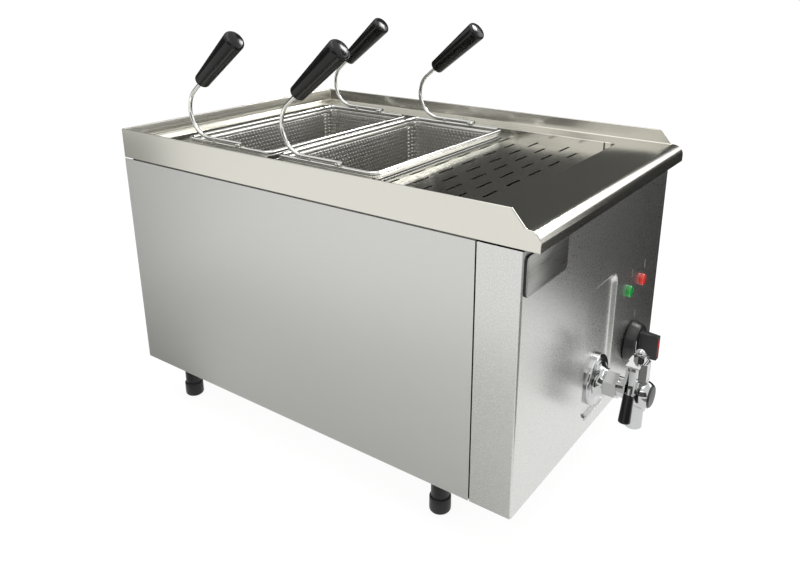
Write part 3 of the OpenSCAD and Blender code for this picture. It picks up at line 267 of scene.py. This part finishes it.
# copy of a CAD node, merged, with softened edges; flatten draws it in towards the fascia
def dressed(node, name, width=0.0, segments=2, flatten=1.0):
    bm = bmesh.new()
    bm.from_mesh(nodes[node].data)
    fromFascia = Matrix.Translation((0, -fasciaY * mm, 0))
    bmesh.ops.scale(bm, vec=(1, flatten, 1), space=fromFascia, verts=bm.verts)
    bmesh.ops.remove_doubles(bm, verts=bm.verts, dist=dressing["merge"] * mm)
    flat = math.radians(dressing["flat"])
    bmesh.ops.dissolve_limit(bm, angle_limit=flat, verts=bm.verts, edges=bm.edges)
    piece = makePiece(bm, name, finishOf[node], bodyOf[node], [node], dressing["crease"])
    if width:
        soften = piece.modifiers.new("softEdge", "BEVEL")
        soften.width = width * mm
        soften.segments = segments
        soften.limit_method = "ANGLE"
        soften.angle_limit = math.radians(dressing["edge"])
        soften.harden_normals = True


# pieces that keep their CAD shape and only lose their sharp edges: name, edge in mm and its segments
softened = {
    "worktop": ("worktopSheet", 0.9, 3),
    "left_side_panel": ("leftSideSheet", 0.4, 2),
    "right_side_panel": ("rightSideSheet", 0.4, 2),
    "rear_panel": ("rearSheet", 0.3, 2),
    "front_fascia": ("fasciaSheet", 0.4, 2),
    "tank": ("tankPan", 0.4, 2),
    "drain_plate": ("slottedDrainPlate", 0.7, 3),
    "tap_rosette": ("tapRosette", 0.4, 2),
    "tap_body": ("tapBody", 0.5, 2),
    "tap_end_cap": ("tapEndCap", 0.3, 2),
    "tap_spout": ("tapSpout", 0.6, 2),
    "tap_gland_nut": ("tapGlandNut", 0.6, 2),
    "tap_lever": ("tapLever", 0.4, 2),
    "tap_lever_sleeve": ("tapLeverSleeve", 0.8, 3),
    "tap_cap_nut": ("tapCapNut", 0.4, 2),
    "thermostat_knob": ("thermostatKnob", 0.8, 3),
    "knob_insert": ("knobInsert", 0.2, 2),
    "foot_legs": ("footLegs", 0.5, 2),
    "front_left_foot": ("frontLeftFoot", 0.5, 2),
    "front_right_foot": ("frontRightFoot", 0.5, 2),
    "rear_left_foot": ("rearLeftFoot", 0.5, 2),
    "rear_right_foot": ("rearRightFoot", 0.5, 2),
    "cable_gland": ("cableGland", 0.4, 2),
    "panel_screws": ("panelScrews", 0.3, 2),
}
for node, (name, width, segments) in softened.items():
    dressed(node, name, width, segments)
for place in ("rear", "front"):
    dressed(place + "_basket_rim", place + "BasketRim")
    for side in ("left", "right"):
        dressed(f"{place}_{side}_handle_rod", f"{place}{side.title()}HandleRod")
for colour in ("green", "red"):  # the real lenses stand out less than their solids
    dressed(colour + "_lamp_lens", colour + "LampLens", width=0.3, flatten=0.6)
print("sheet, tap and rod pieces dressed")

# perforated baskets, in mm: 4 mm rounds on a 6 mm triangular pitch, coarser than the real ones to show
basketShape = dict(corner=8.5, sheet=1.0, gap=0.1, margin=3.6, hole=4.0, columns=(47, 23), rows=28,
                   baseColumns=45, baseRows=26, band=6.5, bandRows=3, flare=1.4)


# settings of one basket, with its size and place from the frame
def basketAt(place):
    low, high = boxOf(place + "_basket_mesh")
    return dict(basketShape, place=place, length=high[0] - low[0], width=high[1] - low[1],
                middle=(low[1] + high[1]) / 2, bottom=low[2], top=high[2])


# length once round the outside of the basket
def girth(basket):
    straights = basket["length"] + basket["width"] - 4 * basket["corner"]
    return 2 * straights + 2 * math.pi * basket["corner"]


# point on the outside of the basket, and the way out there, at a distance along its walls
# from the left end of the front wall
def aroundBasket(along, basket):
    radius = basket["corner"]
    straights = (basket["length"] - 2 * radius, basket["width"] - 2 * radius)
    quarter = math.pi * radius / 2
    along %= girth(basket)
    side = 0
    while along > straights[side % 2] + quarter:
        along -= straights[side % 2] + quarter
        side += 1
    turn = side * math.pi / 2
    heading = Vector((math.cos(turn), math.sin(turn)))
    outward = Vector((heading.y, -heading.x))
    corner = Vector([(heading[i] + outward[i]) * straights[i] / 2 for i in (0, 1)])
    past = along - straights[side % 2]
    if past <= 0:
        return corner + outward * radius + heading * past, outward
    outward = Matrix.Rotation(past / radius, 2) @ outward
    return corner + outward * radius, outward


# flat punched sheet: in one 2 x 2 cell the middle point becomes a round of four sectors, one of them
# is opened, and the cell is repeated in rows that step by half a pitch
def punchedSheet(pitch, rowPitch, hole, columns, rows):
    bm = bmesh.new()
    bmesh.ops.create_grid(bm, x_segments=2, y_segments=2, size=0.5)
    bmesh.ops.scale(bm, vec=(pitch, rowPitch, 1), verts=bm.verts)
    middle = min(bm.verts, key=lambda v: v.co.length)
    bmesh.ops.bevel(bm, geom=[middle], offset=hole / 2, affect="VERTICES", segments=2, profile=0.5,
                    material=-1)
    opening = min(bm.faces, key=lambda f: f.calc_center_median().length)
    onHole = bm.verts.layers.int.new("onHole")
    for v in opening.verts:
        v[onHole] = 1
    bmesh.ops.delete(bm, geom=[opening], context="FACES_ONLY")
    for v in bm.verts:  # the bevel leaves the round's diagonal points short of the circle
        if 0 < v.co.length < hole / 2:
            v.co *= hole / 2 / v.co.length
    for count, step in ((columns, Vector((pitch, 0, 0))), (rows, Vector((0, rowPitch, 0)))):
        part = bm.verts[:] + bm.edges[:] + bm.faces[:]
        for i in range(1, count):
            copy = bmesh.ops.duplicate(bm, geom=part)["geom"]
            slide = Vector((i % 2 * pitch / 2, 0, 0)) if step.y else Vector()
            bmesh.ops.translate(bm, vec=step * i + slide, verts=vertsOf(copy))
    bmesh.ops.remove_doubles(bm, verts=bm.verts, dist=sameSpot)
    return bm


# one of the four walls with the corner that follows it
def buildBasketWall(basket, side):
    place, columns = basket["place"], basket["columns"]
    pitch = girth(basket) / sum(columns) / 2
    punched = basket["top"] - basket["bottom"] - basket["band"] - basket["margin"]
    start = pitch * sum(columns[i % 2] for i in range(side))
    bm = punchedSheet(pitch, punched / basket["rows"], basket["hole"], columns[side % 2], basket["rows"])
    low = min(v.co.y for v in bm.verts)
    foot = [e for e in bm.edges if e.is_boundary and all(v.co.y < low + sameSpot for v in e.verts)]
    margin = bmesh.ops.extrude_edge_only(bm, edges=foot)["geom"]
    bmesh.ops.translate(bm, vec=(0, -basket["margin"], 0), verts=vertsOf(margin))
    base = basket["bottom"] + basket["margin"] - low
    for v in bm.verts:  # the flat sheet is wrapped round the basket
        spot = aroundBasket(v.co.x + start, basket)[0]
        v.co = Vector((spot.x, spot.y + basket["middle"], v.co.y + base)) * mm
    name = place + "Basket" + ("Front", "Right", "Rear", "Left")[side] + "Wall"
    wall = makePiece(bm, name, "perforatedStainless", place + "_basket", [place + "_basket_mesh"])
    thicken(wall, basket["sheet"])


# plain band between the holes and the rim wire, flared a little outwards
def buildBasketBand(basket):
    place = basket["place"]
    bm = bmesh.new()
    across = 2 * sum(basket["columns"])
    bmesh.ops.create_grid(bm, x_segments=across, y_segments=basket["bandRows"], size=0.5)
    for v in bm.verts:
        spot, outward = aroundBasket((v.co.x + 0.5) * girth(basket), basket)
        rise = v.co.y + 0.5
        spot += outward * basket["flare"] * rise * rise
        height = basket["top"] - basket["band"] * (1 - rise)
        v.co = Vector((spot.x, spot.y + basket["middle"], height)) * mm
    bmesh.ops.remove_doubles(bm, verts=bm.verts, dist=sameSpot * mm)
    bmesh.ops.recalc_face_normals(bm, faces=bm.faces)
    # the band's lighter tone is a painted sheen
    band = makePiece(bm, place + "BasketBand", "rolledBandPaintedSheen", place + "_basket",
                     [place + "_basket_mesh"])
    thicken(band, basket["sheet"])


def buildBasketBase(basket):
    place, margin = basket["place"], basket["margin"]
    reach = [basket[side] / 2 - basket["sheet"] - basket["gap"] for side in ("length", "width")]
    radius = basket["corner"] - basket["sheet"]
    pitch = 2 * (reach[0] - margin) / (basket["baseColumns"] + 0.5)  # half a pitch for the rows that step
    rowPitch = 2 * (reach[1] - margin) / basket["baseRows"]
    bm = punchedSheet(pitch, rowPitch, basket["hole"], basket["baseColumns"], basket["baseRows"])
    centre = [(min(v.co[i] for v in bm.verts) + max(v.co[i] for v in bm.verts)) / 2 for i in (0, 1)]
    bmesh.ops.translate(bm, vec=(-centre[0], -centre[1], 0), verts=bm.verts)
    onHole = bm.verts.layers.int["onHole"]
    border = [e for e in bm.edges if e.is_boundary and not any(v[onHole] for v in e.verts)]
    strip = bmesh.ops.extrude_edge_only(bm, edges=border)["geom"]
    outermost = (reach[0] - margin - pitch, reach[1] - margin - sameSpot)
    for v in vertsOf(strip):  # the plain strip is pushed out to the walls and rounded at the corners
        for i in (0, 1):
            if abs(v.co[i]) > outermost[i]:
                v.co[i] = math.copysign(reach[i], v.co[i])
        past = Vector([abs(v.co[i]) - reach[i] + radius for i in (0, 1)])
        if min(past) > 0 and past.length > radius:
            past *= radius / past.length
            for i in (0, 1):
                v.co[i] = math.copysign(reach[i] - radius + past[i], v.co[i])
    bmesh.ops.translate(bm, vec=(0, basket["middle"], basket["bottom"] + basket["sheet"]), verts=bm.verts)
    bmesh.ops.scale(bm, vec=(mm, mm, mm), verts=bm.verts)
    base = makePiece(bm, place + "BasketBase", "perforatedStainless", place + "_basket",
                     [place + "_basket_base"])
    thicken(base, basket["sheet"])


# lapped seam inside the rear wall with two columns of oval spot welds, in mm; the welds are partly real and
# partly painted highlights, light-toned and spaced like the glints on a curved corner
seamShape = dict(x=126, wide=17, thick=0.8, edge=0.3, low=210, high=353.5,
                 columns=(-4.5, 4.5), pitch=5.2, weld=(2.9, 1.6, 1.6))


def buildSeam(basket, seam):
    place, tall = basket["place"], seam["high"] - seam["low"]
    inner = basket["middle"] + basket["width"] / 2 - basket["sheet"]
    bm = bmesh.new()
    bmesh.ops.create_cube(bm, size=1)
    bmesh.ops.scale(bm, vec=(seam["wide"], seam["thick"], tall), verts=bm.verts)
    bmesh.ops.bevel(bm, geom=bm.edges[:], offset=seam["edge"], affect="EDGES", segments=2, profile=0.5,
                    material=-1)
    middle = (seam["x"], inner - seam["thick"] / 2, seam["low"] + tall / 2)
    bmesh.ops.translate(bm, vec=middle, verts=bm.verts)
    bmesh.ops.scale(bm, vec=(mm, mm, mm), verts=bm.verts)
    makePiece(bm, place + "BasketSeam", "perforatedStainless", place + "_basket")
    bm = bmesh.new()
    for i in range(int(tall / seam["pitch"])):
        for shift in seam["columns"]:
            weld = bmesh.ops.create_icosphere(bm, subdivisions=2, radius=1)["verts"]
            bmesh.ops.scale(bm, vec=seam["weld"], verts=weld)
            spot = (seam["x"] + shift, inner - seam["thick"], seam["high"] - (i + 0.5) * seam["pitch"])
            bmesh.ops.translate(bm, vec=spot, verts=weld)
    bmesh.ops.scale(bm, vec=(mm, mm, mm), verts=bm.verts)
    # spot welds in the band's light finish: partly real welds, partly a painted column of highlights
    makePiece(bm, place + "SeamWeldGlints", "rolledBandPaintedSheen", place + "_basket", smooth=60)


# weld beads that hold the rods' feet on the rim, in mm: each bead's place along the rod and its radii
beadShape = dict(x=140.5, z=365.9,
                 beads=((-24, (4.0, 4.4, 3.7)), (-19.5, (3.5, 2.8, 3.0)), (20, (3.3, 2.7, 3.5))))


def buildBeads(basket, shape):
    place = basket["place"]
    bm = bmesh.new()
    for sign in (-1, 1):
        for along, radii in shape["beads"]:
            bead = bmesh.ops.create_icosphere(bm, subdivisions=3, radius=1)["verts"]
            bmesh.ops.scale(bm, vec=radii, verts=bead)
            spot = (sign * shape["x"], basket["middle"] + along, shape["z"])
            bmesh.ops.translate(bm, vec=spot, verts=bead)
    bmesh.ops.scale(bm, vec=(mm, mm, mm), verts=bm.verts)
    makePiece(bm, place + "HandleWelds", "polishedSteelRod", place + "_basket", smooth=60)


baskets = [basketAt(place) for place in ("rear", "front")]
for basket in baskets:
    for side in range(4):
        buildBasketWall(basket, side)
    buildBasketBand(basket)
    buildBasketBase(basket)
    buildSeam(basket, seamShape)
    buildBeads(basket, beadShape)
print("baskets punched and seamed")

# tapered grips turned from one profile, in mm along the rod from the end of its bend, tilt in degrees
gripShape = dict(bore=2.55, neck=19.5, length=87, low=20, high=26.6, lowEdge=3.0, highEdge=4.0, edgeSteps=6,
                 crown=0.8, shoulder=0.6, steps=64, handleX=140.5, bendY=51.991, bendZ=426.613, tilt=50.5)


# points of a quarter circle that starts at an angle in degrees
def quarterRound(x, z, radius, start, steps):
    angles = [math.radians(start + 90 * i / steps) for i in range(steps + 1)]
    return [(x + radius * math.cos(a), z + radius * math.sin(a)) for a in angles]


def buildGrip(basket, side, grip):
    place = basket["place"]
    lowFlat = grip["low"] / 2 - grip["lowEdge"]
    highFlat = grip["high"] / 2 - grip["highEdge"]
    highStart = grip["length"] - grip["highEdge"]
    profile = [(grip["bore"], 0)]
    profile += quarterRound(lowFlat, grip["lowEdge"], grip["lowEdge"], -90, grip["edgeSteps"])
    profile += quarterRound(highFlat, highStart, grip["highEdge"], 0, grip["edgeSteps"])
    profile += [(highFlat / 2, grip["length"] + grip["shoulder"]), (0, grip["length"] + grip["crown"])]
    bm = bmesh.new()
    chain = [bm.verts.new((x * mm, 0, (z + grip["neck"]) * mm)) for x, z in profile]
    edges = [bm.edges.new(pair) for pair in zip(chain, chain[1:])]
    bmesh.ops.spin(bm, geom=chain + edges, angle=math.tau, steps=grip["steps"], axis=(0, 0, 1),
                   use_merge=True)
    bmesh.ops.remove_doubles(bm, verts=bm.verts, dist=sameSpot * mm)
    bmesh.ops.recalc_face_normals(bm, faces=bm.faces)
    across = -grip["handleX"] if side == "left" else grip["handleX"]
    bend = Matrix.Translation(Vector((across, basket["middle"] + grip["bendY"], grip["bendZ"])) * mm)
    lean = Matrix.Rotation(math.radians(grip["tilt"]), 4, "X")
    bmesh.ops.transform(bm, matrix=bend @ lean, verts=bm.verts)
    makePiece(bm, f"{place}{side.title()}Grip", "phenolicGrip", place + "_basket",
              [f"{place}_{side}_grip"])


for basket in baskets:
    for side in ("left", "right"):
        buildGrip(basket, side, gripShape)
print("grips turned")


# flat face with round corners, in mm
def roundedFace(size, corner, steps=8):
    bm = bmesh.new()
    bmesh.ops.create_grid(bm, x_segments=1, y_segments=1, size=0.5)
    bmesh.ops.scale(bm, vec=(*size, 1), verts=bm.verts)
    bmesh.ops.bevel(bm, geom=bm.verts[:], offset=corner, affect="VERTICES", segments=steps, profile=0.5,
                    material=-1)
    return bm


# from a flat drawing in mm to the fascia: its middle across and up, and how far out it stands
def onFascia(at, out):
    spot = Matrix.Translation((at[0], fasciaY - out, at[1]))
    return Matrix.Scale(mm, 4) @ spot @ Matrix.Rotation(math.pi / 2, 4, "X")


# pressed dish behind the tap, in mm: opening in the fascia, then steps of a soft wall as inset and depth
recessShape = dict(at=(7, 156), size=(84, 169), corner=20, cornerSteps=12, back=0.25, sheet=0.8,
                   wall=((0.6, 0.05), (0.7, 0.25), (0.8, 0.5), (0.9, 0.65), (0.9, 0.75), (0.9, 0.7),
                         (0.9, 0.6), (0.9, 0.4), (0.8, 0.2), (0.7, 0.1), (0.4, 0)))


def buildRecess(recess):
    bm = roundedFace(recess["size"], recess["corner"], recess["cornerSteps"])
    floor = bm.faces[:]
    for inset, depth in recess["wall"]:
        bmesh.ops.inset_region(bm, faces=floor, thickness=inset, depth=-depth, use_even_offset=True,
                               use_boundary=True)
    bmesh.ops.transform(bm, matrix=onFascia(recess["at"], -recess["back"]), verts=bm.verts)
    dish = makePiece(bm, "recessDish", "grainedStainlessFascia", "cabinet", ["recess_pan"], smooth=60)
    thicken(dish, recess["sheet"])


# blank badge on a black pad of painted shade, printed marks and a painted highlight on the knob skirt,
# in mm: middle on the fascia, size, corner, how far out the back is, thickness and rounding of the front
# edge
printed = dict(corner=0.4, out=0, thick=0.06, edge=0, finish="palePrint")
plateSettings = {
    # black pad of painted shade round the badge's edge
    "badgeShadePad": dict(at=(-153, 314.5), size=(88, 41), corner=6, out=0, thick=1.9, edge=0.3,
                     finish="paintedShadePad", stands=["badge_plate"]),
    "badgeFace": dict(at=(-152.7, 314.5), size=(87, 40.4), corner=5.7, out=1.9, thick=0.6, edge=0.35,
                      finish="brushedBadgeFace", stands=["badge_plate"]),
    "greenLampMark": dict(printed, at=(99, 217.5), size=(1.0, 12)),
    "redLampMark": dict(printed, at=(144.5, 216.5), size=(1.0, 13)),
    "knobMark": dict(printed, at=(123.5, 154), size=(1.0, 9)),
    # painted highlight along the skirt's left rim
    "skirtPaintedHighlight": dict(at=(95.5, 122.5), size=(1.7, 15), corner=0.8, out=15, thick=0.08, edge=0,
                      finish="paintedHighlightWhite", body="knob"),
}


def buildPlate(name, plate):
    bm = roundedFace(plate["size"], plate["corner"])
    front = bmesh.ops.extrude_face_region(bm, geom=bm.faces[:])["geom"]
    bmesh.ops.translate(bm, vec=(0, 0, plate["thick"]), verts=vertsOf(front))
    bmesh.ops.recalc_face_normals(bm, faces=bm.faces)
    if plate["edge"]:
        rim = [e for e in bm.edges if all(v.co.z > plate["thick"] - sameSpot for v in e.verts)]
        bmesh.ops.bevel(bm, geom=rim, offset=plate["edge"], affect="EDGES", segments=2, profile=0.5,
                        material=-1)
    bmesh.ops.transform(bm, matrix=onFascia(plate["at"], plate["out"]), verts=bm.verts)
    makePiece(bm, name, plate["finish"], plate.get("body", "cabinet"), plate.get("stands", ()),
              smooth=30)


buildRecess(recessShape)
for name, plate in plateSettings.items():
    buildPlate(name, plate)
print("recess, badge and marks placed")

# camera at the photo's view: place and nearest in metres, turn in radians, lens and sensor in mm
cameraSettings = dict(place=(-0.7566519, -0.5326242, 0.5797073), turn=(1.2400917, -0.0022211, -0.9555710),
                      lens=33.94284, sensor=36, shift=(-0.0211043, -0.0745535), nearest=0.01)


def placeCamera(view):
    camera = addObject("camera", bpy.data.cameras.new("camera"))
    camera.location = view["place"]
    camera.rotation_euler = view["turn"]
    camera.data.lens = view["lens"]
    camera.data.sensor_width = view["sensor"]
    camera.data.shift_x, camera.data.shift_y = view["shift"]
    camera.data.clip_start = view["nearest"]
    bpy.context.scene.camera = camera


# 1 for the rays that show the backdrop itself: to the camera, and in metal and glass
def backdropRays(tree):
    rays = addNode(tree, "ShaderNodeLightPath")
    seen = rays.outputs["Is Camera Ray"]
    for kind in ("Is Glossy Ray", "Is Transmission Ray"):
        either = addNode(tree, "ShaderNodeMath", {"operation": "MAXIMUM"}, {0: seen, 1: rays.outputs[kind]})
        seen = either.outputs[0]
    return seen


# white world that lights the machine less than it shows, and a pale floor that keeps the shadow
backdrop = dict(worldLight=0.75, floorSize=60.0, floorColour="#F4F4F2", floorRough=0.9, floorGlow=1.06,
                glowShare=0.86)


def buildWorld(settings):
    world = bpy.data.worlds.new("studio")
    bpy.context.scene.world = world
    world.use_nodes = True
    tree = world.node_tree
    level = addNode(tree, "ShaderNodeMapRange", {"To Min": settings["worldLight"], "To Max": 1.0},
                    {"Value": backdropRays(tree)})
    tree.nodes["Background"].inputs["Color"].default_value = (1, 1, 1, 1)
    tree.links.new(level.outputs["Result"], tree.nodes["Background"].inputs["Strength"])


def buildFloor(settings):
    mat = bpy.data.materials.new("paleFloor")
    mat.use_nodes = True
    tree = mat.node_tree
    shader = tree.nodes["Principled BSDF"]
    shader.inputs["Base Color"].default_value = linear(settings["floorColour"])
    shader.inputs["Roughness"].default_value = settings["floorRough"]
    glow = addNode(tree, "ShaderNodeEmission", {"Strength": settings["floorGlow"]})
    share = addNode(tree, "ShaderNodeMath", {"operation": "MULTIPLY"}, {0: backdropRays(tree)})
    share.inputs[1].default_value = settings["glowShare"]
    mixed = addNode(tree, "ShaderNodeMixShader", {}, {"Fac": share.outputs[0], 1: shader.outputs["BSDF"],
                                                      2: glow.outputs["Emission"]})
    tree.links.new(mixed.outputs["Shader"], tree.nodes["Material Output"].inputs["Surface"])
    bm = bmesh.new()
    bmesh.ops.create_grid(bm, x_segments=1, y_segments=1, size=settings["floorSize"] / 2)
    addMesh(bm, "floor", mat)


# soft lamps: place, aim and size in metres, power in watts
lampSettings = {
    "overheadSoftbox": dict(place=(0.0, 0.0, 2.2), aim=(0, 0, 0.3), size=(1.6, 1.6), power=12),
    "leftSoftbox": dict(place=(-2.0, -0.6, 1.4), aim=(0, 0, 0.2), size=(1.4, 1.4), power=10),
    "noseSoftbox": dict(place=(1.5, -0.85, 1.05), aim=(0, -0.1, 0.36), size=(1.8, 0.8), power=9),
    "gripSoftbox": dict(place=(1.56, -0.4, 1.68), aim=(0, 0.1, 0.5), size=(0.35, 0.35), power=8),
}


def hangLamp(name, settings):
    light = bpy.data.lights.new(name, "AREA")
    light.shape = "RECTANGLE"
    light.size, light.size_y = settings["size"]
    light.energy = settings["power"]
    lamp = addObject(name, light)
    lamp.location = settings["place"]
    aim = Vector(settings["aim"]) - Vector(settings["place"])
    lamp.rotation_euler = aim.to_track_quat("-Z", "Y").to_euler()
    lamp.visible_camera = False


# cards that only reflections see, as a studio uses to give polished steel its dark side, in metres:
# standing ones by their two ends, foot and top, lying ones by their outline on the floor
standingCards = {
    "rearCard": dict(ends=((1.65, 0.16), (0.2, 2.4)), foot=0.45, top=1.5, tone="#3A3A38"),
    "rearLeftCard": dict(ends=((0.2, 2.4), (-2.0, 1.5)), foot=0.3, top=1.2, tone="#5A5A57"),
    "cameraCard": dict(ends=((-1.2, -1.9), (-1.9, 0.2)), foot=0.3, top=1.6, tone="#4A4A48"),
    "rightWallCard": dict(ends=((1.95, -1.5), (1.65, 0.16)), foot=0, top=2.2, tone="#3C3C3A"),
    "rightCard": dict(ends=((0.43, -0.2), (0.5, -0.42)), foot=0, top=0.36, tone="#242423"),
    "rightFrontCard": dict(ends=((0.5, -0.42), (0.56, -0.62)), foot=0.05, top=0.36, tone="#161616"),
}
lyingCards = {
    "frontFloorCard": dict(outline=((0.24, -0.27), (0.24, -0.36), (0.4, -0.47), (0.5, -0.66), (0.8, -1.0),
                                    (1.6, -1.15), (1.6, -0.27)), tone="#0E0E0E"),
    "frontLeftFloorCard": dict(outline=((-0.9, -0.45), (-0.1, -0.45), (0.2, -0.56), (0.46, -0.75),
                                        (0.46, -1.4), (-0.9, -1.4)), tone="#7A7A78"),
    "rearLeftFloorCard": dict(outline=((-0.21, 0.22), (-1.3, 1.8), (-1.3, 3.45), (-0.21, 1.86)),
                              tone="#989896"),
    "leftFloorCard": dict(outline=((-0.21, -0.3), (-0.21, 0.22), (-0.5, 0.64), (-0.6, 0.6), (-0.6, -0.3)),
                          tone="#D2D2D0"),
}
lyingHeight = 0.004  # just above the floor


def addCard(name, corners, tone):
    bm = bmesh.new()
    bmesh.ops.contextual_create(bm, geom=[bm.verts.new(corner) for corner in corners])
    mat = bpy.data.materials.new(name)
    mat.use_nodes = True
    shader = mat.node_tree.nodes["Principled BSDF"]
    shader.inputs["Base Color"].default_value = linear(tone)
    shader.inputs["Roughness"].default_value = 1.0
    card = addMesh(bm, name, mat)
    card.visible_camera = False
    card.visible_shadow = False
    card.visible_diffuse = False


bpy.context.scene.view_settings.view_transform = "Standard"
placeCamera(cameraSettings)
buildWorld(backdrop)
buildFloor(backdrop)
for name, settings in lampSettings.items():
    hangLamp(name, settings)
for name, card in standingCards.items():
    near, far = card["ends"]
    foot, top = card["foot"], card["top"]
    addCard(name, ((*near, foot), (*far, foot), (*far, top), (*near, top)), card["tone"])
for name, card in lyingCards.items():
    addCard(name, [(*point, lyingHeight) for point in card["outline"]], card["tone"])
print("stage built")
